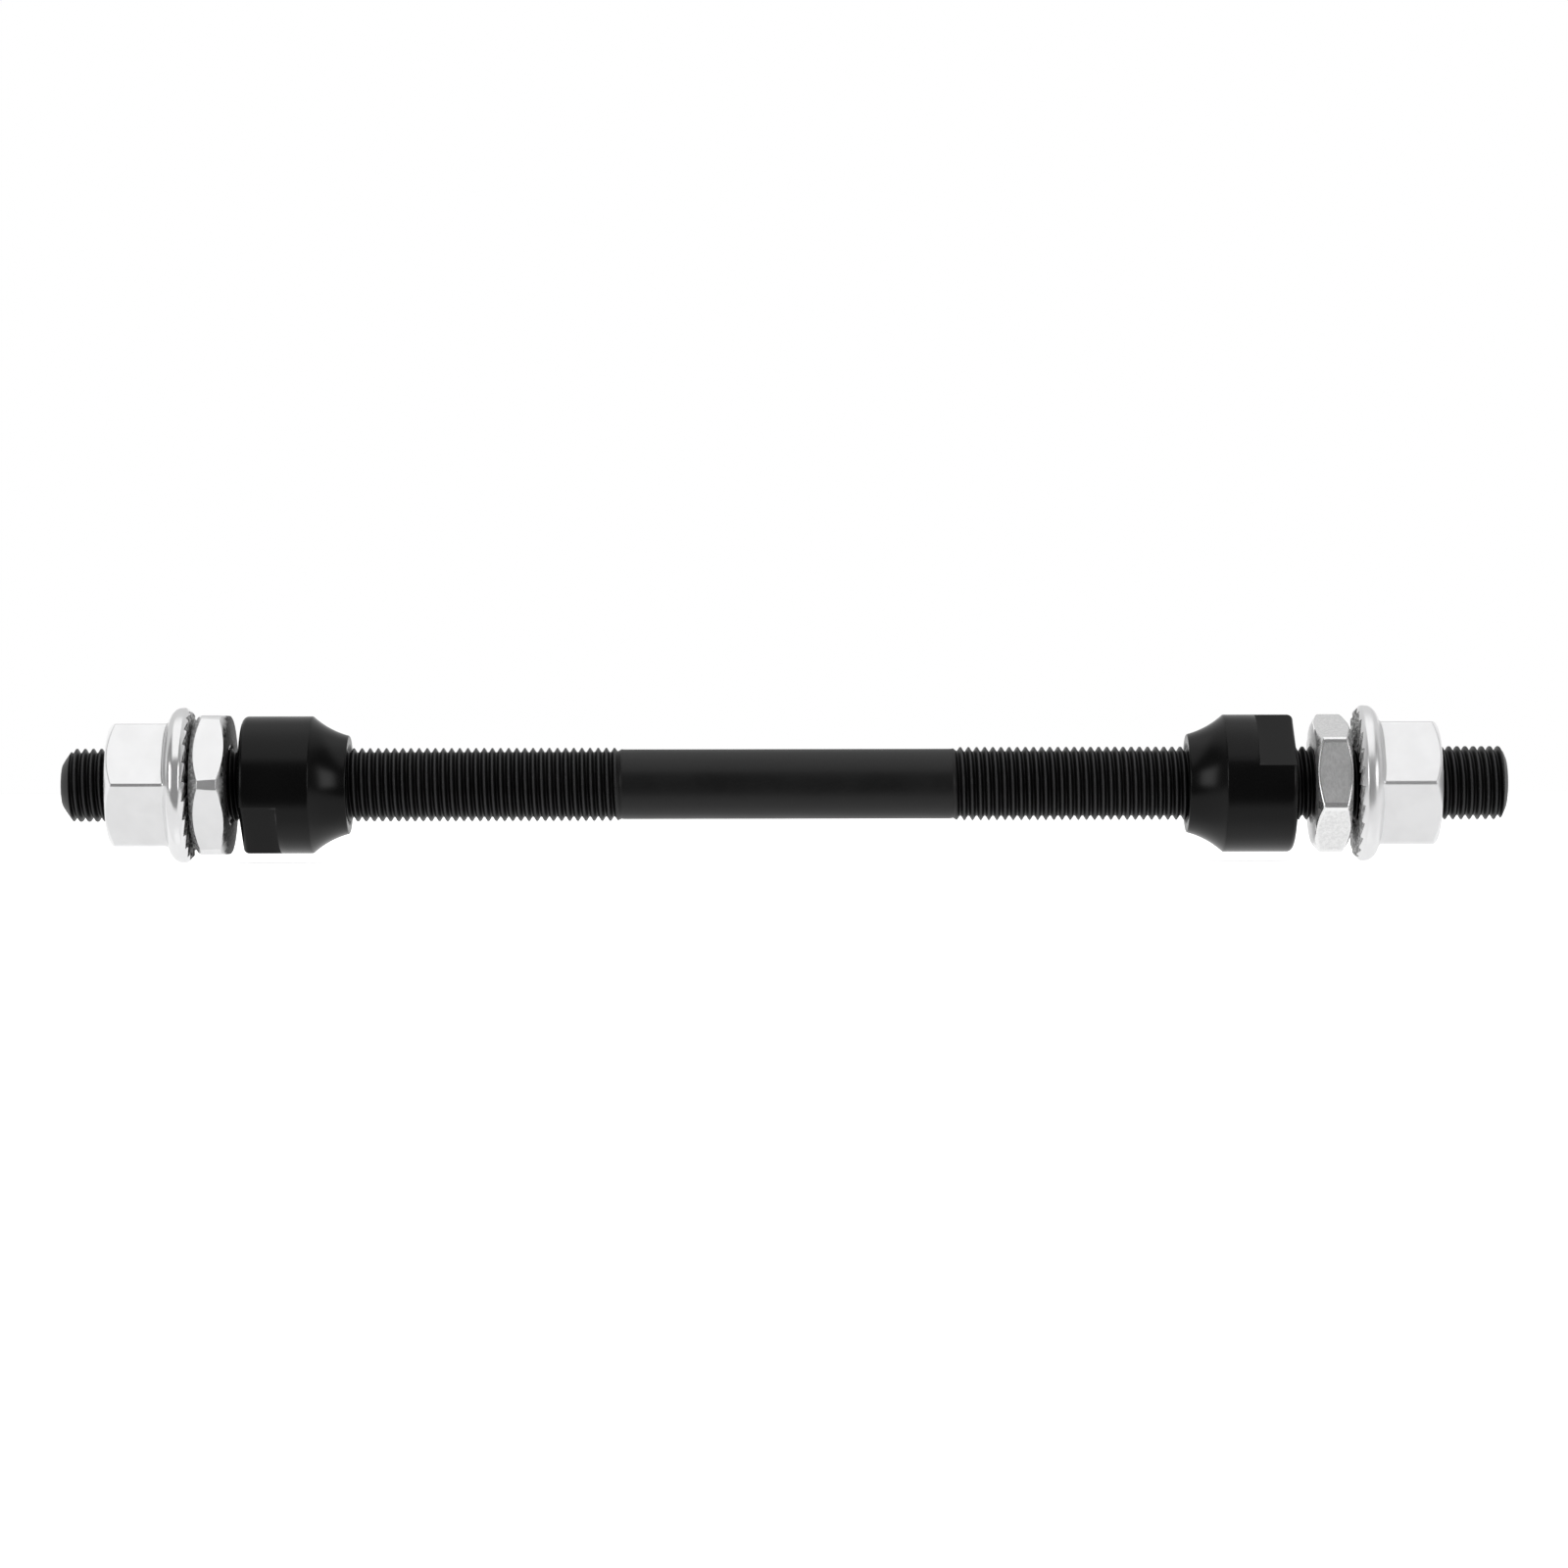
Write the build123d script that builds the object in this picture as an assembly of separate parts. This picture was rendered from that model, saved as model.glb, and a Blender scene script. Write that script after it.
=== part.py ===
from build123d import *
import math
import os

# A bicycle hub axle: a threaded axle that carries two bearing cones, two locknuts and
# two serrated flange nuts. It lies along X, with its middle at the origin and +Z up.
# Lengths are in millimetres and angles in degrees. Threads are left as plain cylinders
# at their largest diameter, and the threaded holes clear them by bore_clearance.

# Axle
axle_length = 177.0
thread_diameter = 9.0
left_thread_length = 68.0
right_thread_length = 67.3
shank_diameter = 8.58
thread_fade_length = 1.0
left_end_face_diameter = 5.9
left_end_bevel_length = 0.95
right_end_face_diameter = 6.4
right_end_bevel_length = 0.6

# Places along the axle, each counted from the piece outside it
left_axle_stub = 5.85
right_axle_stub = 8.4
left_dropout_gap = 0.35
right_dropout_gap = 0.95
left_cone_gap = 1.55
right_cone_gap = 2.4

# Threaded holes are this much wider, all round, than the thread
bore_clearance = 0.05

# Flange nuts
nut_length = 10.0
nut_hex_width = 15.0
nut_corner_diameter = 17.1
nut_face_diameter = 14.2
nut_chamfer_angle = 35.0
nut_countersink = 0.5
skirt_length = 1.5
skirt_angle = 25.0
flange_diameter = 19.1
flange_thickness = 2.1
rim_outer_rounding = 0.9
rim_seat_bevel = 0.6

# Serrations on the flange's seat: ramps that rise to their crest and drop steeply
tooth_count = 24
tooth_depth = 0.3
tooth_crest_angle = 1.5
seat_recess_diameter = 10.8
seat_recess_depth = 0.35

# Locknuts
left_locknut_hex_width = 17.0
left_locknut_corner_diameter = 19.0
left_locknut_outer_face_diameter = 15.4
left_locknut_inner_face_diameter = 16.4
left_locknut_length = 4.4
left_locknut_chamfer_angle = 35.0
right_locknut_hex_width = 15.0
right_locknut_corner_diameter = 17.1
right_locknut_face_diameter = 14.7
right_locknut_length = 4.35
right_locknut_chamfer_angle = 30.0

# Bearing cones
cone_length = 13.0
cone_diameter = 16.86
cone_edge_bevel = 0.6
race_length = 4.45
race_hollow = 0.31
nose_diameter = 12.06
wrench_flat_width = 14.0
wrench_flat_length = 4.7
wrench_flat_rounding = 0.4

# How far each piece is screwed round, counted upwards from the front of the axle
left_cone_turn = -53.0
right_cone_turn = 49.0
left_locknut_turn = 0.0
right_locknut_turn = -20.4
flange_nut_turn = 0.0

# A cutting tool reaches this far past what it cuts
overcut = 1.0

bore_radius = thread_diameter / 2 + bore_clearance
axle_end = axle_length / 2


def turned(corners):
    """Turn an outline about X: each corner is its place along X and its radius."""
    outline = make_face(Polyline(*corners, close=True))
    return revolve(Plane.XZ * outline, Axis.X)


def rounded_corner(place, radius, rounding):
    """The three points of a corner rounded off in two steps, from the face out to the rim."""
    side = rounding * (1 - math.cos(math.radians(45)))
    return [
        (place, radius - rounding),
        (place + side, radius - side),
        (place + rounding, radius),
    ]


def screwed_round(piece, upwards):
    """Turn a piece about the axle so that its front rises by the angle."""
    return Rot(X=-upwards) * piece


def threaded_hole(length):
    """What a threaded hole takes out of a piece that lies from X = 0 to X = length."""
    return turned(
        [
            (-overcut, 0),
            (-overcut, bore_radius),
            (length + overcut, bore_radius),
            (length + overcut, 0),
        ]
    )


def thread_mouth():
    """The countersink that leads a thread into the end at X = 0."""
    return turned(
        [
            (-overcut, 0),
            (-overcut, bore_radius + nut_countersink + overcut),
            (nut_countersink, bore_radius),
            (nut_countersink, 0),
        ]
    )


def hexagon(width, length, corner_diameter):
    """A hexagonal bar from X = 0 to X = length, a corner to the front, its corners turned down."""
    section = Plane.YZ * RegularPolygon(width / 2, 6, major_radius=False)
    bar = extrude(section, length)
    return bar & turned(
        [
            (-overcut, 0),
            (-overcut, corner_diameter / 2),
            (length + overcut, corner_diameter / 2),
            (length + overcut, 0),
        ]
    )


def chamfered_end(length, corner_diameter, face_diameter, chamfer_angle):
    """The turned form that bevels a hexagon's corners back from a round face at X = 0."""
    slope = math.tan(math.radians(chamfer_angle))
    reach = corner_diameter / 2 + overcut
    return turned(
        [
            (0, 0),
            (0, face_diameter / 2),
            ((reach - face_diameter / 2) * slope, reach),
            (length + overcut, reach),
            (length + overcut, 0),
        ]
    )


def facing_back(piece, length):
    """Turn a piece that lies from X = 0 to X = length end for end, about the upright line."""
    return Pos(X=length) * Rot(Z=180) * piece


def axle():
    """The bar itself: a thread at each end, a thinner plain shank and a bevel at both tips."""
    thread = thread_diameter / 2
    shank = shank_diameter / 2
    left_tip = left_end_face_diameter / 2
    right_tip = right_end_face_diameter / 2
    left_thread_end = left_thread_length - axle_end
    right_thread_end = axle_end - right_thread_length
    return turned(
        [
            (-axle_end, 0),
            (-axle_end, left_tip),
            (left_end_bevel_length - axle_end, thread),
            (left_thread_end - thread_fade_length, thread),
            (left_thread_end, shank),
            (right_thread_end, shank),
            (right_thread_end + thread_fade_length, thread),
            (axle_end - right_end_bevel_length, thread),
            (axle_end, right_tip),
            (axle_end, 0),
        ]
    )


def serrations():
    """The notches between the seat's teeth: each a wedge whose point lies on the axle's line.

    A notch is deepest at its lower side, where the last tooth drops steeply, and its floor
    ramps up to the next crest. All its edges run to one point, so it widens and deepens
    outwards, and tooth_depth is its depth at the rim.
    """
    pitch = 360 / tooth_count
    crest_start = math.radians(pitch - tooth_crest_angle)
    rim = flange_diameter / 2
    inside = (seat_recess_diameter / 2 - overcut) / rim
    outside = (rim + overcut) / rim
    sections = []
    for share in (inside, outside):
        front = -rim * share
        ramp_top = rim * share * math.tan(crest_start)
        deep = nut_length - tooth_depth * share
        clear = nut_length + overcut * share
        sections.append(
            [
                (deep, front, 0),
                (nut_length, front, ramp_top),
                (clear, front, ramp_top),
                (clear, front, 0),
            ]
        )
    near, far = sections
    sides = [
        Face(Wire.make_polygon([near[i - 1], near[i], far[i], far[i - 1]]))
        for i in range(len(near))
    ]
    ends = [Face(Wire.make_polygon(section)) for section in sections]
    notch = Solid(Shell(sides + ends))
    return [screwed_round(notch, pitch * i) for i in range(tooth_count)]


def flange_nut():
    """A hexagonal nut whose skirt spreads into a round flange with a serrated seat at its far end."""
    seat_side = nut_length - flange_thickness
    flat = nut_hex_width / 2
    skirt_end = flat + skirt_length * math.tan(math.radians(skirt_angle))
    rim = flange_diameter / 2
    bar = hexagon(nut_hex_width, nut_length - flange_thickness / 2, nut_corner_diameter)
    head = bar & chamfered_end(
        nut_length, nut_corner_diameter, nut_face_diameter, nut_chamfer_angle
    )
    flange = turned(
        [
            (seat_side - skirt_length, 0),
            (seat_side - skirt_length, flat),
            (seat_side, skirt_end),
            *rounded_corner(seat_side, rim, rim_outer_rounding),
            (nut_length - rim_seat_bevel, rim),
            (nut_length, rim - rim_seat_bevel),
            (nut_length, 0),
        ]
    )
    recess = turned(
        [
            (nut_length - seat_recess_depth, 0),
            (nut_length - seat_recess_depth, seat_recess_diameter / 2),
            (nut_length + overcut, seat_recess_diameter / 2),
            (nut_length + overcut, 0),
        ]
    )
    nut = head + flange
    nut -= recess
    nut -= serrations()
    nut -= threaded_hole(nut_length)
    nut -= thread_mouth()
    return nut


def locknut(width, corner_diameter, face_diameters, length, chamfer_angle):
    """A thin hexagonal nut, bevelled round its outer face, at X = 0, and its inner face."""
    outer_end, inner_end = (
        chamfered_end(length, corner_diameter, face_diameter, chamfer_angle)
        for face_diameter in face_diameters
    )
    nut = hexagon(width, length, corner_diameter)
    nut &= outer_end
    nut &= facing_back(inner_end, length)
    return nut - threaded_hole(length)


def wrench_flat():
    """What one of the two flats for a thin wrench takes off a cone's outer end, at its front."""
    depth = cone_diameter / 2 + overcut
    outline = FilletPolyline(
        (-overcut, -wrench_flat_width / 2),
        (wrench_flat_length, -wrench_flat_width / 2),
        (wrench_flat_length, -depth),
        (-overcut, -depth),
        radius=[0, wrench_flat_rounding, 0, 0],
        close=True,
    )
    return extrude(make_face(outline), cone_diameter / 2, both=True)


def cone():
    """A bearing cone: outer end at X = 0, a round body, then the hollow race down to the nose."""
    body = cone_diameter / 2
    nose = nose_diameter / 2
    race_start = Vector(cone_length - race_length, body)
    race_end = Vector(cone_length, nose)
    along = (race_end - race_start).normalized()
    inwards = Vector(along.Y, -along.X)
    pull = (race_start + race_end) / 2 + inwards * (2 * race_hollow)
    race = Bezier(race_start, pull, race_end)
    rest = Polyline(
        race_end,
        (cone_length, bore_radius),
        (0, bore_radius),
        (0, body - cone_edge_bevel),
        (cone_edge_bevel, body),
        race_start,
    )
    blank = revolve(Plane.XZ * make_face([race, rest]), Axis.X)
    front_flat = wrench_flat()
    return blank - [front_flat, screwed_round(front_flat, 180)]


def assembly():
    """Every piece in its place on the axle, by name, from the outside inwards."""
    left_nut_place = -axle_end + left_axle_stub
    left_locknut_place = left_nut_place + nut_length + left_dropout_gap
    left_cone_place = left_locknut_place + left_locknut_length + left_cone_gap
    right_nut_place = axle_end - right_axle_stub
    right_locknut_place = right_nut_place - nut_length - right_dropout_gap
    right_cone_place = right_locknut_place - right_locknut_length - right_cone_gap

    end_for_end = Rot(Z=180)
    nut = flange_nut()
    bearing_cone = cone()
    left_locknut = locknut(
        left_locknut_hex_width,
        left_locknut_corner_diameter,
        (left_locknut_outer_face_diameter, left_locknut_inner_face_diameter),
        left_locknut_length,
        left_locknut_chamfer_angle,
    )
    right_locknut = locknut(
        right_locknut_hex_width,
        right_locknut_corner_diameter,
        (right_locknut_face_diameter, right_locknut_face_diameter),
        right_locknut_length,
        right_locknut_chamfer_angle,
    )
    pieces = {
        "left_flange_nut": (nut, left_nut_place, flange_nut_turn),
        "left_locknut": (left_locknut, left_locknut_place, left_locknut_turn),
        "left_cone": (bearing_cone, left_cone_place, left_cone_turn),
        "right_cone": (end_for_end * bearing_cone, right_cone_place, right_cone_turn),
        "right_locknut": (
            end_for_end * right_locknut,
            right_locknut_place,
            right_locknut_turn,
        ),
        "right_flange_nut": (end_for_end * nut, right_nut_place, flange_nut_turn),
    }
    placed = {"axle": axle()}
    for name, (piece, place, turn) in pieces.items():
        placed[name] = Pos(X=place) * screwed_round(piece, turn)
    return placed


os.makedirs("parts", exist_ok=True)
for name, piece in assembly().items():
    export_step(piece, f"parts/{name}.step")
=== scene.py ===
import math

import bmesh
import bpy
import numpy as np
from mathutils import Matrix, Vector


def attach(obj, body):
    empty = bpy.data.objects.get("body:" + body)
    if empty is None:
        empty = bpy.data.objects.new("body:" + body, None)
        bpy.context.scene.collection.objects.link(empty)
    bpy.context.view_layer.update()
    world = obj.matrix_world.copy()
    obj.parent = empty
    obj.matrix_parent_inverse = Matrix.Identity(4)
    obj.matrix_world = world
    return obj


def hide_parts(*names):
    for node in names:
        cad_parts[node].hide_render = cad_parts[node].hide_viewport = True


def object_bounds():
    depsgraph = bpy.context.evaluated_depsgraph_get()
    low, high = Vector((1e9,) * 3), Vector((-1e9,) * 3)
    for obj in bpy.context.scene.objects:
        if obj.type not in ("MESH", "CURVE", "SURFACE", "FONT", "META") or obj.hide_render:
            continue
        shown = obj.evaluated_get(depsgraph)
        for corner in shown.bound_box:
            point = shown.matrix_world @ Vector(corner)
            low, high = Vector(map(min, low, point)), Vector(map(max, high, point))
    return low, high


# The looks of a bicycle hub axle: a real thread on the axle, rounded and toothed nuts and
# cones with a hollow race, in black oxide and bright and satin plate. Shapes are worked out
# in millimetres, along X from each piece's outer end and out from the axle's line, and go
# into their meshes in metres; finishes and the studio are in metres too. Angles round a nut
# or cone are counted upwards from the front.

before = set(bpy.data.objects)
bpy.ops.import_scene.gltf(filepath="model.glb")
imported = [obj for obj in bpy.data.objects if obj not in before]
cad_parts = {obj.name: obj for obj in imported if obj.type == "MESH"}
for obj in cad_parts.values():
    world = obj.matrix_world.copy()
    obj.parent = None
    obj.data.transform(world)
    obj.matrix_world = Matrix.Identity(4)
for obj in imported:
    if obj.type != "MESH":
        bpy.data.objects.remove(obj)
cad_low, cad_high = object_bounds()

mm = 0.001

# Axle: each tip has a flat face of a radius, a bevel of a length and a crown on the bevel
axle_end = 88.5
left_tip_face, left_tip_bevel = 2.6, 1.3
right_tip_face, right_tip_bevel = 3.2, 0.6
tip_crown = 0.9
shank_radius = 4.29

# Thread: its flats' shares of the pitch, and where each side's crests cross the top
pitch = 1.0
crest_radius = 4.5
root_radius = 3.98
crest_share = 0.17
root_share = 0.18
left_thread_stop = -19.6
right_thread_stop = 20.3
thread_fade = 1.3
left_crest_at_top = 0.18
right_crest_at_top = 0.66
turn_steps = 60

# Threaded holes
bore_radius = 4.55
mouth = 0.5


def eased(low, high, value):
    """A smooth step: 0 below low, 1 above high, and 3t^2 - 2t^3 between them."""
    share = np.clip((value - low) / (high - low), 0, 1)
    return share * share * (3 - 2 * share)


# Meshes


def grid_faces(rows, columns, rows_close, columns_close):
    """The four corners of every cell of a grid of points, row by row."""
    row = np.arange(rows if rows_close else rows - 1)
    column = np.arange(columns if columns_close else columns - 1)
    r, c = (a.ravel() for a in np.meshgrid(row, column, indexing="ij"))
    next_r, next_c = (r + 1) % rows, (c + 1) % columns
    return np.stack(
        [r * columns + c, next_r * columns + c, next_r * columns + next_c, r * columns + next_c], 1
    )


def around_the_axle(x, radius, angle):
    """Points at a place along the axle, a radius from its line and an angle up from the front."""
    x, radius, angle = np.broadcast_arrays(x, radius, angle)
    return np.stack([x, -radius * np.cos(angle), radius * np.sin(angle)], -1)


def piece(name, grids, node, finish, marks=None):
    """Make one mesh from grids of points, join their shared edges and let it ride for its node.

    Each grid is (points, rows_close, columns_close), and its rows run so that a step down the
    rows, then one along the columns, turns round the outward side.
    """
    points, faces, count = [], [], 0
    for grid, rows_close, columns_close in grids:
        rows, columns = grid.shape[:2]
        points.append(grid.reshape(-1, 3) * mm)
        faces.append(grid_faces(rows, columns, rows_close, columns_close) + count)
        count += rows * columns
    mesh = bpy.data.meshes.new(name)
    mesh.from_pydata(np.concatenate(points).tolist(), [], np.concatenate(faces).tolist())
    if marks is not None:
        mesh.attributes.new("ground", "FLOAT", "POINT").data.foreach_set(
            "value", marks.ravel().astype(np.float32)
        )
    shell = bmesh.new()
    shell.from_mesh(mesh)
    bmesh.ops.remove_doubles(shell, verts=shell.verts, dist=1e-7)
    shell.to_mesh(mesh)
    shell.free()
    mesh.polygons.foreach_set("use_smooth", np.ones(len(mesh.polygons), bool))
    mesh.materials.append(finish)
    made = bpy.data.objects.new(name, mesh)
    bpy.context.scene.collection.objects.link(made)
    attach(made, node)
    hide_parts(node)
    return made


def crisp(made, degrees):
    """Keep the edges that turn by more than the angle sharp, and let broad faces stay flat."""
    made.data.set_sharp_from_angle(angle=math.radians(degrees))
    weighted = made.modifiers.new("broad faces stay flat", "WEIGHTED_NORMAL")
    weighted.keep_sharp = True


# Threaded axle


def thread_radius(x, round_angle, crest_at_top):
    """The thread's surface: a ridge with straight flanks that moves one pitch along per turn.

    round_angle is counted from the top, down the front. The distance from the nearest crest,
    in pitches, falls off the crest's flat, down the flank and into the root's flat.
    """
    along = (x - crest_at_top) / pitch - round_angle / (2 * math.pi)
    from_crest = np.abs((along + 0.5) % 1 - 0.5)
    flank = (0.5 - root_share / 2 - from_crest) / (0.5 - root_share / 2 - crest_share / 2)
    return root_radius + (crest_radius - root_radius) * np.clip(flank, 0, 1)


def axle_radius(x, round_angle):
    """The axle's surface: its threads fade into the shank, and a crowned bevel trims each tip."""
    left = thread_radius(x, round_angle, left_crest_at_top)
    right = thread_radius(x, round_angle, right_crest_at_top)
    left_depth = 1 - eased(left_thread_stop - thread_fade, left_thread_stop, x)
    right_depth = eased(right_thread_stop, right_thread_stop + thread_fade, x)
    left, right = left_depth * (left - shank_radius), right_depth * (right - shank_radius)
    radius = shank_radius + left + right
    tips = (
        (x + axle_end, left_tip_face, left_tip_bevel),
        (axle_end - x, right_tip_face, right_tip_bevel),
    )
    for from_end, face_radius, bevel in tips:
        rise = np.clip(from_end / bevel, 0, None) ** tip_crown
        radius = np.minimum(radius, face_radius + (crest_radius - face_radius) * rise)
    return radius


def axle_points(x, round_angle):
    x, round_angle = np.broadcast_arrays(x, round_angle)
    return around_the_axle(x, axle_radius(x, round_angle), math.pi / 2 - round_angle)


def threaded_length(start, turns):
    """A strip that follows the thread's helix, with a wedge at each end that squares it off.

    The strip's rows are the thread's profile, and each row moves one pitch along in a turn.
    A wedge's rows open out from a ring to the strip's first row, or close to a ring from its last.
    """
    profile = np.array([0, 0.09, 0.13, 0.38, 0.415, 0.585, 0.62, 0.87, 0.91]) * pitch
    rows = (np.arange(turns)[:, None] * pitch + profile).ravel()
    rows = np.append(rows, turns * pitch)[:, None]
    fan = np.append(profile, pitch)[:, None]
    share = np.linspace(0, 1, turn_steps + 1)[None, :]
    round_angle = 2 * math.pi * share
    stop = start + turns * pitch
    return [
        start + fan * share,
        start + rows + pitch * share,
        stop + pitch * share + fan * (1 - share),
    ], round_angle


def axle_tip(end, face_radius, inner, ring):
    """A flat end face, then close rings along the beginning of the thread."""
    ring_gap = 0.05
    disc = np.array([0, 0.5, 0.93, 0.985, 1])[:, None] * face_radius
    face = around_the_axle(end, disc, math.pi / 2 - ring)
    count = int(abs(end - inner) / ring_gap)
    places = end + (inner - end) * np.linspace(0, 1, count)[:, None]
    both = np.concatenate([face, axle_points(places, ring)[1:]])
    return both[::-1] if end > 0 else both


def threaded_axle(finish):
    """The axle: rings at both tips and the shank, and strips along the helix between them.

    Each strip starts half a pitch from where a crest crosses the top, and the fade lies well
    inside it, so that only rings meet the plain shank.
    """
    ring = 2 * math.pi * np.arange(turn_steps + 1)[None, :] / turn_steps
    left_turns, right_turns = 63, 61
    left_start = left_crest_at_top + pitch / 2 - 83 * pitch
    left_stop = left_start + (left_turns + 1) * pitch
    right_start = right_crest_at_top + pitch / 2 + 18 * pitch
    right_stop = right_start + (right_turns + 1) * pitch
    grids = [axle_tip(-axle_end, left_tip_face, left_start, ring)]
    for start, turns in ((left_start, left_turns), (right_start, right_turns)):
        sheets, angles = threaded_length(start, turns)
        grids.extend(axle_points(x, angles) for x in sheets)
    shank = np.linspace(left_stop, right_start, 24)[:, None]
    grids.append(axle_points(shank, ring))
    grids.append(axle_tip(axle_end, right_tip_face, right_stop, ring))
    # The angle runs down the front, so the rows are reversed for faces that point outwards.
    grids = [(points[::-1], False, False) for points in grids]
    piece("threaded_axle", grids, "axle", finish)


# Nuts and cones, as sections that change round the axle


def section_rows(corners):
    """Walk round a section, rounding each corner with a true arc.

    A corner is (place, radius, reach, steps, edge_steps): the arc starts and stops at the reach
    from the corner, is cut into steps, and edge_steps points follow on the edge behind it. The
    arc is the rational quadratic curve whose middle weight is the cosine of half its turn. The
    first three may be arrays with a number for each angle round the axle.
    """
    angles = max(np.size(value) for corner in corners for value in corner[:3])
    places, radii, reaches = (
        np.stack([np.broadcast_to(np.asarray(corner[i], float), (angles,)) for corner in corners])
        for i in range(3)
    )
    places, reaches = np.stack([places, radii], -1), reaches[..., None]
    before = np.roll(places, 1, 0) - places
    after = np.roll(places, -1, 0) - places
    before = before / np.linalg.norm(before, axis=-1, keepdims=True)
    after = after / np.linalg.norm(after, axis=-1, keepdims=True)
    half_turn = np.arccos(np.clip(-(before * after).sum(-1, keepdims=True), -1, 1)) / 2
    starts, stops = places + before * reaches, places + after * reaches
    rows = []
    for i, corner in enumerate(corners):
        steps, edge_steps = corner[3:]
        weight = np.cos(half_turn[i])
        for t in np.linspace(0, 1, steps + 1) if steps else (0.0,):
            a, b, c = (1 - t) ** 2, 2 * weight * t * (1 - t), t * t
            rows.append((a * starts[i] + b * places[i] + c * stops[i]) / (a + b + c))
        following = starts[(i + 1) % len(corners)]
        for share in (np.arange(edge_steps) + 1) / (edge_steps + 1):
            rows.append(stops[i] + (following - stops[i]) * share)
    return np.stack(rows)


def rounded_hexagon(angle, flat, rounding):
    """How far out a hexagon's side lies, a corner to the front, each corner rounded by an arc."""
    corner = np.abs((angle + math.pi / 6) % (math.pi / 3) - math.pi / 6)
    side = flat / np.cos(math.pi / 6 - corner)
    centre = (flat - rounding) / math.cos(math.pi / 6)
    across = centre * np.sin(corner)
    arc = centre * np.cos(corner) + np.sqrt(np.clip(rounding**2 - across**2, 0, None))
    touch = math.pi / 6 - math.atan((flat - rounding) / flat * math.tan(math.pi / 6))
    return np.where(corner < touch, arc, side)


def both_ways(offsets):
    """The offsets to either side."""
    return [side * offset for side in (-1, 1) for offset in offsets]


def angles_round(*groups):
    """Sorted angles for the columns, from groups of (repeats, offsets in degrees)."""
    found = [
        (np.arange(repeats)[:, None] * 360 / repeats + np.array(offsets)[None, :]).ravel() % 360
        for repeats, offsets in groups
    ]
    return np.radians(np.unique(np.round(np.concatenate(found), 3)))


def set_on_axle(rows, angle, place, end_for_end, turn):
    """Put a section's rows round the axle, their outer end at the place, facing either way."""
    x, radius = rows[..., 0], rows[..., 1]
    if end_for_end:
        return around_the_axle(place - x, radius, math.pi - angle[None, :] + math.radians(turn))
    return around_the_axle(place + x, radius, angle[None, :] + math.radians(turn))


def clamping_nut(name, node, finish, place, end_for_end, rounding):
    """A hexagonal nut that grows into a thick domed flange with 24 ramped teeth on its seat.

    The flange's outer side is a quarter of an ellipse, from the hexagon's flats up to the rim,
    and every side of the hexagon runs into it with a small hollow. A bevel leads from the rim
    to the seat, which is cut back by the tooth's share of 0.3 mm at the rim, less in proportion
    to the radius: deepest just above each steep wall and rising evenly to the next tooth's
    crest. The marks are 1 on the seat.
    """
    teeth, crest_at, depth, phase = 24, 13.5, 0.3, 2.3
    wall = [phase + offset for offset in (0.1, 0.45, 14.55, 14.9)]
    ramp = [phase + offset for offset in (2.2, 4.5, 6.8, 9.0, 11.2, 13.0, 13.9)]
    corner = both_ways([0, 0.45, 0.9, 1.4, 1.9, 2.3, 2.9, 3.4])
    angle = angles_round((teeth, wall + ramp), (6, corner))
    flat, face, bevel = 7.5, 7.1, 35
    hexagon = rounded_hexagon(angle, flat, rounding)
    after_wall = (np.degrees(angle) - phase) % (360 / teeth)
    notch = depth * np.clip(1 - after_wall / crest_at, 0, 1)
    rim, inner, seat, recess = 9.545, 5.4, 10.0, 0.35
    rim_start, rim_stop = 8.85, 9.38
    seat_rim = rim + rim_stop - seat + notch
    length, height = 1.6, rim - flat
    leaves = np.arcsin((hexagon - flat) / height)
    first = leaves + math.radians(14.5)
    dome = []
    for share in np.linspace(0, 1, 11):
        turn = first + (math.pi / 2 - first) * share
        x, radius = rim_start - length * np.cos(turn), flat + height * np.sin(turn)
        dome.append((x, radius, 0.0, 0, 0))
    rows = section_rows(
        [
            (mouth, bore_radius, 0.05, 2, 1),
            (0, bore_radius + mouth, 0.08, 2, 2),
            (0, face, 0.16, 3, 1),
            ((hexagon - face) * math.tan(math.radians(bevel)), hexagon, 0.09, 3, 4),
            (rim_start - length * np.cos(leaves), hexagon, 0.32, 8, 0),
            *dome,
            (rim_stop, rim, 0.22, 5, 1),
            (seat - notch, seat_rim, 0.05, 2, 1),
            (seat - notch * inner / rim, inner, 0.05, 2, 0),
            (seat - recess, inner, 0.04, 1, 1),
            (seat - recess, bore_radius, 0.04, 1, 6),
        ]
    )
    floor = np.minimum(seat - notch * rows[..., 1] / rim, seat - recess)
    on_seat = (rows[..., 1] < seat_rim - 0.03) & (rows[..., 0] > floor - 0.02)
    points = set_on_axle(rows, angle, place, end_for_end, 0)
    made = piece(name, [(points, True, True)], node, finish, 1.0 * on_seat)
    crisp(made, 36)


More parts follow.
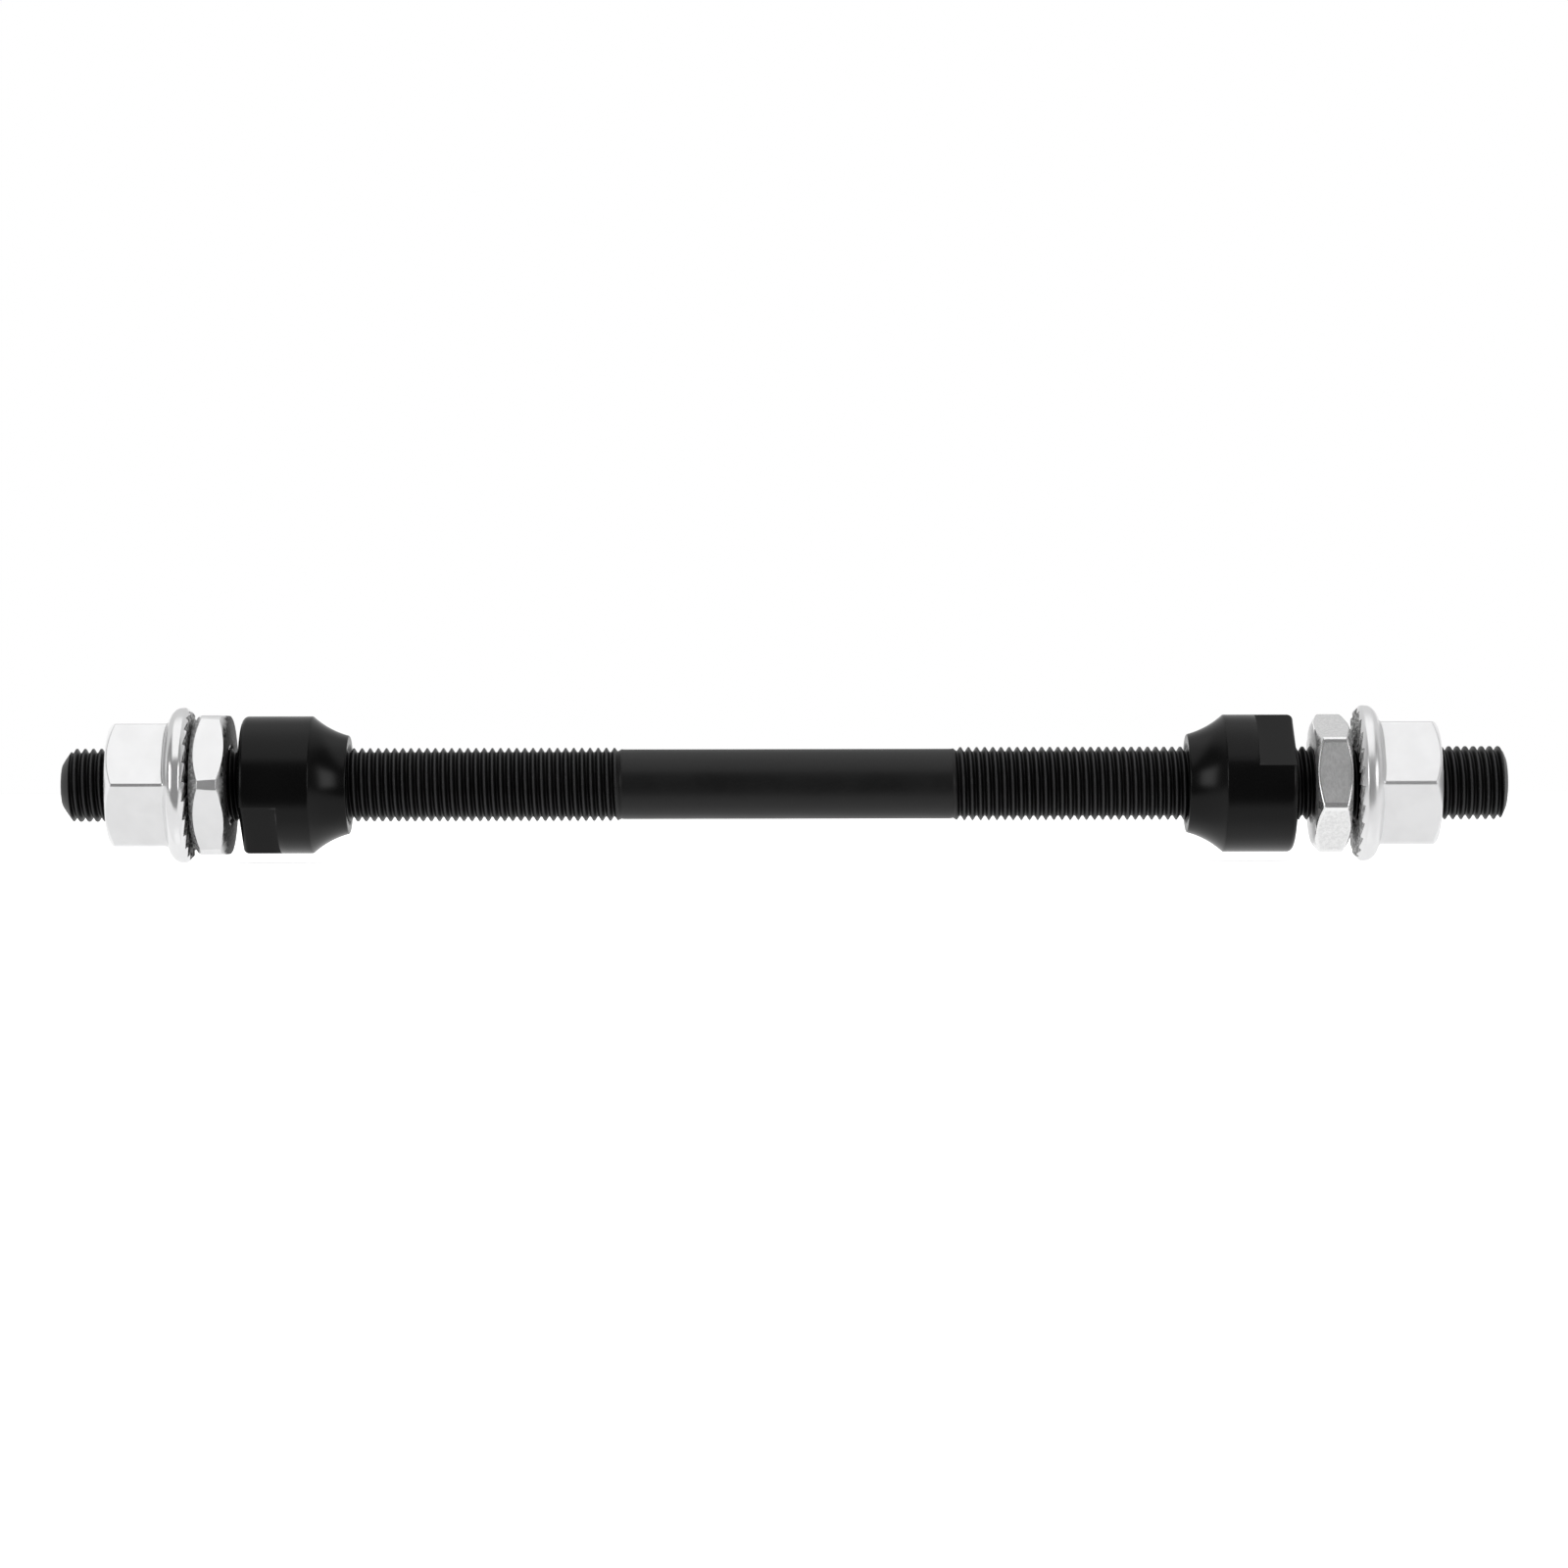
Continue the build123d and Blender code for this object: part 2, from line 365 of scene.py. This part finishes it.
def lock_nut(
    name, node, finish, place, end_for_end, turn, flat, length, bevel, faces, corners,
    rounding, edge, worn_edges,
):
    """A thin hexagonal nut, bevelled on both faces; its corners are cut back by a slight cone.

    faces and corners give the radii of its outer side, then its inner side. The bevels' edges
    are rounded by an arc whose reach is edge, or less where the bevel is short, and two plain
    corners keep the side between them straight. The marks are 1 on the edges and corners where
    those are worn, or else on the inner side, up to near its rim, which the finish paints dark
    as a painted reflection of the black cone beside it.
    """
    outer_face, inner_face = faces
    corner = both_ways([0, 0.6, 1.2, 1.8, 2.6, 3.5, 4.5, 5.5, 6.5, 7.5, 9])
    angle = angles_round((6, corner), (90, [0]))
    hexagon = rounded_hexagon(angle, flat, rounding)
    outer, inner = (np.minimum(hexagon, radius) for radius in corners)
    slope, longest = math.tan(math.radians(bevel)), 0.45 / math.cos(math.radians(bevel))
    outer_edge = np.minimum(edge, (outer - outer_face) * longest)
    inner_edge = np.minimum(edge, (inner - inner_face) * longest)
    bevel_stop = (outer - outer_face) * slope
    bevel_start = length - (inner - inner_face) * slope
    rows = section_rows(
        [
            (mouth, bore_radius, 0.05, 2, 1),
            (0, bore_radius + mouth, 0.08, 2, 2),
            (0, outer_face, outer_edge, 3, 1),
            (bevel_stop, outer, outer_edge, 3, 0),
            (bevel_stop + 1.2 * edge, outer, 0.0, 0, 4),
            (bevel_start - 1.2 * edge, inner, 0.0, 0, 0),
            (bevel_start, inner, inner_edge, 3, 1),
            (length, inner_face, inner_edge, 3, 2),
            (length, bore_radius + mouth, 0.08, 2, 1),
            (length - mouth, bore_radius, 0.05, 2, 3),
        ]
    )
    points = set_on_axle(rows, angle, place, end_for_end, turn)
    x, radius = rows[..., 0], rows[..., 1]
    if worn_edges:
        from_outer = np.hypot(x - bevel_stop, radius - outer)
        from_inner = np.hypot(x - bevel_start, radius - inner)
        on_edge = np.minimum(from_outer, from_inner) < edge * 1.1
        by_corner = np.abs((np.degrees(angle) + 30) % 60 - 30) < 4.0
        marks = on_edge | (by_corner & (radius > flat))
    else:
        # Painted reflection: the inner side is marked to be painted dark and mottled, standing in
        # for the black cone that it reflects.
        marks = (x > bevel_start - 0.01) * (1 - eased(8.7, 9.1, radius))
    made = piece(name, [(points, True, True)], node, finish, 1.0 * marks)
    crisp(made, 30)


def bearing_cone(name, node, finish, place, end_for_end, turn):
    """A bearing cone: two wrench flats by its outer end, a round body and a hollow race.

    The race is the quadratic curve from the shoulder to the nose, pulled in at its middle. The
    two corners at a flat's foot part where the flat runs out, so no edge has zero length. The
    marks are 1 on the race and -1 on the flats.
    """
    body, flat, flat_end, foot = 8.43, 7.0, 4.7, 0.12
    shoulder, nose_end, nose, hollow = 8.55, 13.0, 6.03, 0.62
    edges = both_ways([math.degrees(math.acos(flat / body))])
    near_edge = both_ways([0, 0.3, 0.8, 1.6, 3])
    angle = angles_round((2, [edge + offset for edge in edges for offset in near_edge]), (120, [0]))
    from_flat = np.abs((angle + math.pi / 2) % math.pi - math.pi / 2)
    cut = np.minimum(body, flat / np.maximum(np.cos(from_flat), 0.2))
    apart = foot * (1 - np.clip((body - cut) / foot, 0, 1))
    low_foot, high_foot = flat_end - apart, flat_end + apart + 0.01
    t = np.linspace(0, 1, 15)[:, None]
    along = np.array([nose_end - shoulder, nose - body])
    along = along / np.linalg.norm(along)
    middle = np.array([(shoulder + nose_end) / 2, (body + nose) / 2])
    pull = middle + hollow * np.array([along[1], -along[0]])
    race = (1 - t) ** 2 * [shoulder, body] + 2 * t * (1 - t) * pull + t * t * [nose_end, nose]
    corners = [
        (mouth, bore_radius, 0.05, 2, 1),
        (0, bore_radius + mouth, 0.08, 2, 3),
        (0, cut, 0.7, 6, 3),
        (low_foot, cut, np.minimum(0.3, (body - cut) * 0.45 + 0.01), 4, 1),
        (high_foot, body, np.minimum(0.08, (body - cut) * 0.3 + 0.005), 2, 3),
        (shoulder, body, 0.12, 3, 0),
        *[(x, radius, 0.0, 0, 0) for x, radius in race[1:-1]],
        (nose_end, nose, 0.15, 4, 1),
        (nose_end, bore_radius + mouth, 0.08, 2, 1),
        (nose_end - mouth, bore_radius, 0.05, 2, 8),
    ]
    rows = section_rows(corners)
    points = set_on_axle(rows, angle, place, end_for_end, turn)
    x, radius = rows[..., 0], rows[..., 1]
    on_race = eased(shoulder + 0.05, shoulder + 0.25, x) * (radius > 5.9)
    on_flat = (x < flat_end - 0.1) & (radius > 5) & (cut < body - 0.02)
    made = piece(name, [(points, True, True)], node, finish, on_race - on_flat)
    crisp(made, 36)


# Finishes


class Value:
    """A number that varies over a surface. Sums with it add the maths that they need."""

    def __init__(self, paint, socket):
        self.paint, self.socket = paint, socket

    def maths(self, operation, *others):
        return self.paint.node("ShaderNodeMath", {"operation": operation}, [self, *others])

    def __add__(self, other):
        return self.maths("ADD", other)

    def __sub__(self, other):
        return self.maths("SUBTRACT", other)

    def __rsub__(self, other):
        return self.paint.node("ShaderNodeMath", {"operation": "SUBTRACT"}, [other, self])

    def __mul__(self, other):
        return self.maths("MULTIPLY", other)

    __radd__, __rmul__ = __add__, __mul__

    def between(self, low, high):
        """0 where the number is below low, 1 above high, and a smooth rise between them."""
        return self.paint.node(
            "ShaderNodeMapRange",
            {"interpolation_type": "SMOOTHSTEP"},
            {"Value": self, "From Min": low, "From Max": high},
        )


class Paint:
    """The nodes of one finish, or of the world's light."""

    def __init__(self, tree):
        self.tree = tree
        tree.nodes.clear()

    def node(self, kind, settings, inputs, output=0):
        """Add a node: its settings first, then the values or links of its inputs."""
        made = self.tree.nodes.new(kind)
        for key, value in settings.items():
            setattr(made, key, value)
        for key, value in inputs.items() if isinstance(inputs, dict) else enumerate(inputs):
            if isinstance(value, Value):
                self.tree.links.new(value.socket, made.inputs[key])
            else:
                made.inputs[key].default_value = value
        return Value(self, made.outputs[output]) if made.outputs else None

    def place(self):
        """Where a point lies on its piece."""
        return self.node("ShaderNodeTexCoord", {}, {}, "Object")

    def parts(self, vector):
        """The x, y and z of a vector."""
        return [self.node("ShaderNodeSeparateXYZ", {}, [vector], i) for i in range(3)]

    def along_and_out(self, at):
        """A place's distance along the axle and its distance out from the axle's line."""
        x, y, z = self.parts(at)
        return x, (y * y + z * z).maths("SQRT")

    def mark(self):
        """The mark that each point of a piece carries."""
        settings = {"attribute_name": "ground", "attribute_type": "GEOMETRY"}
        return self.node("ShaderNodeAttribute", settings, {}, "Fac")

    def noise(self, at, scale, detail=3.0, roughness=0.55, stretch=(1, 1, 1)):
        """Soft noise, finer along each axis by its stretch."""
        scaled = self.node(
            "ShaderNodeMapping", {"vector_type": "POINT"}, {"Vector": at, "Scale": stretch}
        )
        return self.node(
            "ShaderNodeTexNoise",
            {},
            {"Vector": scaled, "Scale": scale, "Detail": detail, "Roughness": roughness},
        )

    def mix(self, share, first, second):
        """A colour between two, by the share of the second."""
        return self.node(
            "ShaderNodeMix", {"data_type": "RGBA"}, {0: share, 6: first, 7: second}, 2
        )

    def bump(self, height, strength, distance):
        return self.node(
            "ShaderNodeBump", {}, {"Height": height, "Strength": strength, "Distance": distance}
        )


def grey(shade, blue=None):
    """An even grey, or one with a little more blue."""
    return shade, shade, blue or shade, 1


def new_finish(name):
    made = bpy.data.materials.new(name)
    made.use_nodes = True
    return made, Paint(made.node_tree)


def show(paint, settings):
    """End a finish with its surface shader."""
    shader = paint.node("ShaderNodeBsdfPrincipled", {}, settings)
    paint.node("ShaderNodeOutputMaterial", {}, {"Surface": shader})


def black_axle_finish():
    """Black oxide on rolled thread and drawn bar, deepest black in the thread's valleys.

    The crests are painted a little lighter, partly as rubbed wear and partly as a painted
    highlight, but not in the two gaps between locknut and cone, where painted shade keeps them
    dark.
    """
    made, paint = new_finish("black_oxide_on_axle")
    at = paint.place()
    x, out = paint.along_and_out(at)
    cloud = paint.noise(at, 160)
    drawn = paint.noise(at, 2600, 2, stretch=(0.06, 1, 1))
    # Painted highlight and wear: the thread's crests get a lighter colour, both for rubbing and for
    # the highlights that they catch.
    crest = out.between(0.00438, 0.00449)
    # Painted shade: in the two gaps between locknut and cone the crests lose most of their
    # lightness, for the shade that the neighbouring parts cast there.
    left_gap_shade = x.between(-0.0705, -0.0702) * (1 - x.between(-0.0664, -0.0661))
    right_gap_shade = x.between(0.0618, 0.0622) * (1 - x.between(0.0704, 0.0708))
    crest = crest * (1 - 0.9 * (left_gap_shade + right_gap_shade))
    colour = paint.mix(cloud.between(0.3, 0.7), grey(0.0035, 0.0036), grey(0.006, 0.0061))
    colour = paint.mix(crest * (0.45 + 0.55 * cloud), colour, grey(0.0235, 0.0243))
    shank = x.between(-0.0205, -0.0195) * (1 - x.between(0.0203, 0.0213))
    valley = (1 - shank) * (1 - out.between(0.0041, 0.00442))
    show(
        paint,
        {
            "Base Color": colour,
            "Metallic": 0.56 * valley,
            "Roughness": 0.34 + 0.16 * cloud,
            "Specular IOR Level": 0.38,
            "Normal": paint.bump(drawn, 0.12, 0.00002),
        },
    )
    return made


def black_cone_finish():
    """Black oxide on turned steel: faint tool rings on the body and a smoother ground race.

    The milled flats have an even shade, painted lighter on the right cone, whose front flat faces
    up, than on the left, whose front flat faces down: painted light and shade.
    """
    made, paint = new_finish("black_oxide_on_cones")
    at, mark = paint.place(), paint.mark()
    x, out = paint.along_and_out(at)
    race, milled = mark.between(0.0, 1.0), (0 - mark).between(0.0, 1.0)
    cloud = paint.noise(at, 220)
    along = paint.node("ShaderNodeCombineXYZ", {}, [x + out, 0.0, 0.0])
    rings = paint.noise(along, 5200, 2)
    speckle = paint.noise(at, 5200, 2)
    colour = paint.mix(cloud.between(0.3, 0.7), grey(0.0007), grey(0.0013))
    # Painted light and shade: the right cone's flats get a lighter colour than the left cone's,
    # since the right's front flat faces up into the light and the left's faces down.
    flats = paint.mix(x.between(-0.001, 0.001), grey(0.0076), grey(0.022))
    colour = paint.mix(milled, colour, flats)
    height = rings * (1 - 0.8 * race) + 0.5 * speckle
    show(
        paint,
        {
            "Base Color": colour,
            "Metallic": milled,
            "Roughness": 0.22 - 0.02 * race + 0.07 * cloud,
            "Specular IOR Level": 0.23,
            "Normal": paint.bump(height, 0.10, 0.00002),
        },
    )
    return made


def bright_plate_finish(name, roughness, marked_dark, marked_light):
    """Bright plate over forged steel: nearly a mirror, with a faint ripple and soft clouds.

    The marked side is rough and broken into patches of the two given shades.
    """
    made, paint = new_finish(name)
    at, mark = paint.place(), paint.mark()
    cloud = paint.noise(at, 240)
    ripple = paint.noise(at, 900, 2)
    grain = paint.noise(at, 9000, 2)
    patches = paint.noise(at, 2400, 3, 0.65)
    colour = paint.mix(cloud.between(0.3, 0.7), grey(0.88, 0.885), grey(0.93, 0.935))
    patched = paint.mix(patches.between(0.44, 0.62), grey(marked_dark), grey(marked_light))
    colour = paint.mix(mark, colour, patched)
    show(
        paint,
        {
            "Base Color": colour,
            "Metallic": 0.82 - 0.4 * mark,
            "Roughness": roughness + 0.10 * cloud + 0.42 * mark,
            "Normal": paint.bump(ripple + 0.15 * grain + 4 * mark * patches, 0.10, 0.00006),
        },
    )
    return made


def satin_plate_finish():
    """Satin plate: an even grain of fine pits that breaks up the light, burnished on the edges."""
    made, paint = new_finish("satin_plate")
    at, mark = paint.place(), paint.mark()
    cloud = paint.noise(at, 260)
    grain = paint.noise(at, 2600, 3, 0.75, stretch=(1, 1, 0.5))
    colour = paint.mix(grain.between(0.32, 0.68), grey(0.80), grey(0.95))
    colour = paint.mix(mark, colour, grey(0.95))
    show(
        paint,
        {
            "Base Color": colour,
            "Metallic": 0.9,
            "Roughness": 0.36 + 0.10 * cloud - 0.26 * mark,
            "Normal": paint.bump(grain * (1 - mark), 0.35, 0.00005),
        },
    )
    return made


# Studio


def studio_light():
    """A room worked out by direction: dark towards the photographer, grey or white elsewhere.

    A white table lies below, and its front edge rises towards the sides. A soft light hangs
    overhead and fades to the back, a white backdrop stands behind, and a small window to each
    side of the camera puts the soft spot on each race. The camera itself sees only white.
    """
    world = bpy.data.worlds.new("studio")
    world.use_nodes = True
    paint = Paint(world.node_tree)
    x, y, z = paint.parts(paint.node("ShaderNodeTexCoord", {}, {}, "Generated"))
    side = x.maths("ABSOLUTE")
    front = (0 - y).maths("MAXIMUM", 0.0)
    edge = z + (0.75 - 0.44 * side) * front
    table = (1 - edge.between(-0.13, 0.13)) * (0.86 + 0.20 * (0 - z).between(0.88, 1.0))
    table = table * (1 - 0.32 * y.between(0.0, 0.5))
    overhead = (1.2 * z + y).between(-0.12, 0.14) * (0.65 * z - side).between(-0.2, 0.1)
    overhead = overhead * (1 - 0.5 * (y - 0.2 * z).between(0.0, 0.6))
    backdrop = y.between(-0.15, 0.25) * (1 - z.between(0.2, 0.45))
    window = side.between(0.57, 0.67) * (1 - side.between(0.81, 0.90)) * (1 - y.between(-0.2, 0.0))
    window = 2.6 * window * z.between(-0.15, 0.01) * (1 - z.between(0.30, 0.50))
    light = table.maths("MAXIMUM", overhead).maths("MAXIMUM", backdrop)
    light = light.maths("MAXIMUM", window).maths("MAXIMUM", 0.16 + 0.44 * y.between(-0.15, 0.25))
    seen = paint.node("ShaderNodeLightPath", {}, {}, "Is Camera Ray")
    strength = paint.node("ShaderNodeMix", {"data_type": "FLOAT"}, {0: seen, 2: light, 3: 1.0})
    back = paint.node("ShaderNodeBackground", {}, {"Color": (1, 1, 1, 1), "Strength": strength})
    paint.node("ShaderNodeOutputWorld", {}, {"Surface": back})
    bpy.context.scene.world = world


def floor_under(low):
    """A plain white floor just under the flanges, with a glow that only the camera sees."""
    mesh = bpy.data.meshes.new("floor")
    reach = 4.0
    mesh.from_pydata(
        [(-reach, -reach, low), (reach, -reach, low), (reach, reach, low), (-reach, reach, low)],
        [],
        [(0, 1, 2, 3)],
    )
    made, paint = new_finish("white_floor")
    seen = paint.node("ShaderNodeLightPath", {}, {}, "Is Camera Ray")
    matt = paint.node("ShaderNodeBsdfDiffuse", {}, {"Color": (0.82, 0.82, 0.82, 1)})
    glow = paint.node("ShaderNodeEmission", {}, {"Color": (1, 1, 1, 1), "Strength": 0.8 * seen})
    both = paint.node("ShaderNodeAddShader", {}, [matt, glow])
    paint.node("ShaderNodeOutputMaterial", {}, {"Surface": both})
    mesh.materials.append(made)
    floor = bpy.data.objects.new("floor", mesh)
    floor.visible_glossy = False
    bpy.context.scene.collection.objects.link(floor)


def lamp(name, place, size, power):
    """A soft square lamp that faces the middle of the axle."""
    light = bpy.data.lights.new(name, "AREA")
    light.size, light.energy = size, power
    made = bpy.data.objects.new(name, light)
    made.location = place
    made.visible_glossy = False
    made.rotation_mode = "QUATERNION"
    made.rotation_quaternion = (-made.location).to_track_quat("-Z", "Y")
    bpy.context.scene.collection.objects.link(made)


def camera():
    """Level with the axle and square to it, with the photograph's slight roll."""
    lens = bpy.data.cameras.new("camera")
    lens.sensor_width, lens.lens = 36, 108.0
    lens.clip_start, lens.clip_end = 0.01, 20
    made = bpy.data.objects.new("camera", lens)
    made.location = (0, -0.578, 0)
    made.rotation_euler = (math.pi / 2, math.radians(0.11), 0)
    bpy.context.scene.collection.objects.link(made)
    bpy.context.scene.camera = made


camera()
studio_light()
floor_under(cad_low[2] - 0.00002)
lamp("top", place=(0.1, -0.1, 0.9), size=0.8, power=4.0)
bpy.context.scene.view_settings.view_transform = "Standard"

oxide_on_axle = black_axle_finish()
oxide_on_cones = black_cone_finish()
bright = bright_plate_finish(
    "bright_plate", roughness=0.10, marked_dark=0.16, marked_light=0.66
)
dull = bright_plate_finish(
    "duller_bright_plate", roughness=0.26, marked_dark=0.42, marked_light=0.92
)
# Painted reflection: the marked inner side of the left locknut is painted dark and mottled,
# standing in for the black cone that it reflects.
scaled = bright_plate_finish(
    "bright_plate_with_painted_reflection", roughness=0.11, marked_dark=0.008, marked_light=0.14
)
satin = satin_plate_finish()

threaded_axle(oxide_on_axle)
clamping_nut(
    "left_clamping_nut", "left_flange_nut", bright, place=-82.65, end_for_end=False, rounding=0.55
)
clamping_nut(
    "right_clamping_nut", "right_flange_nut", dull, place=80.1, end_for_end=True, rounding=0.65
)
# Its inner side carries the painted reflection of the black cone beside it.
lock_nut(
    "left_lock_nut", "left_locknut", scaled, place=-72.3, end_for_end=False,
    turn=0, flat=8.5, length=4.4, bevel=35, faces=(7.7, 8.3), corners=(9.54, 9.465),
    rounding=0.3, edge=0.05, worn_edges=False,
)
lock_nut(
    "right_lock_nut", "right_locknut", satin, place=69.15, end_for_end=True,
    turn=-20.4, flat=7.5, length=4.35, bevel=30, faces=(7.35, 7.35), corners=(8.6, 8.6),
    rounding=0.5, edge=0.24, worn_edges=True,
)
bearing_cone(
    "left_bearing_cone", "left_cone", oxide_on_cones, place=-66.35, end_for_end=False, turn=-53
)
bearing_cone(
    "right_bearing_cone", "right_cone", oxide_on_cones, place=62.4, end_for_end=True, turn=49
)
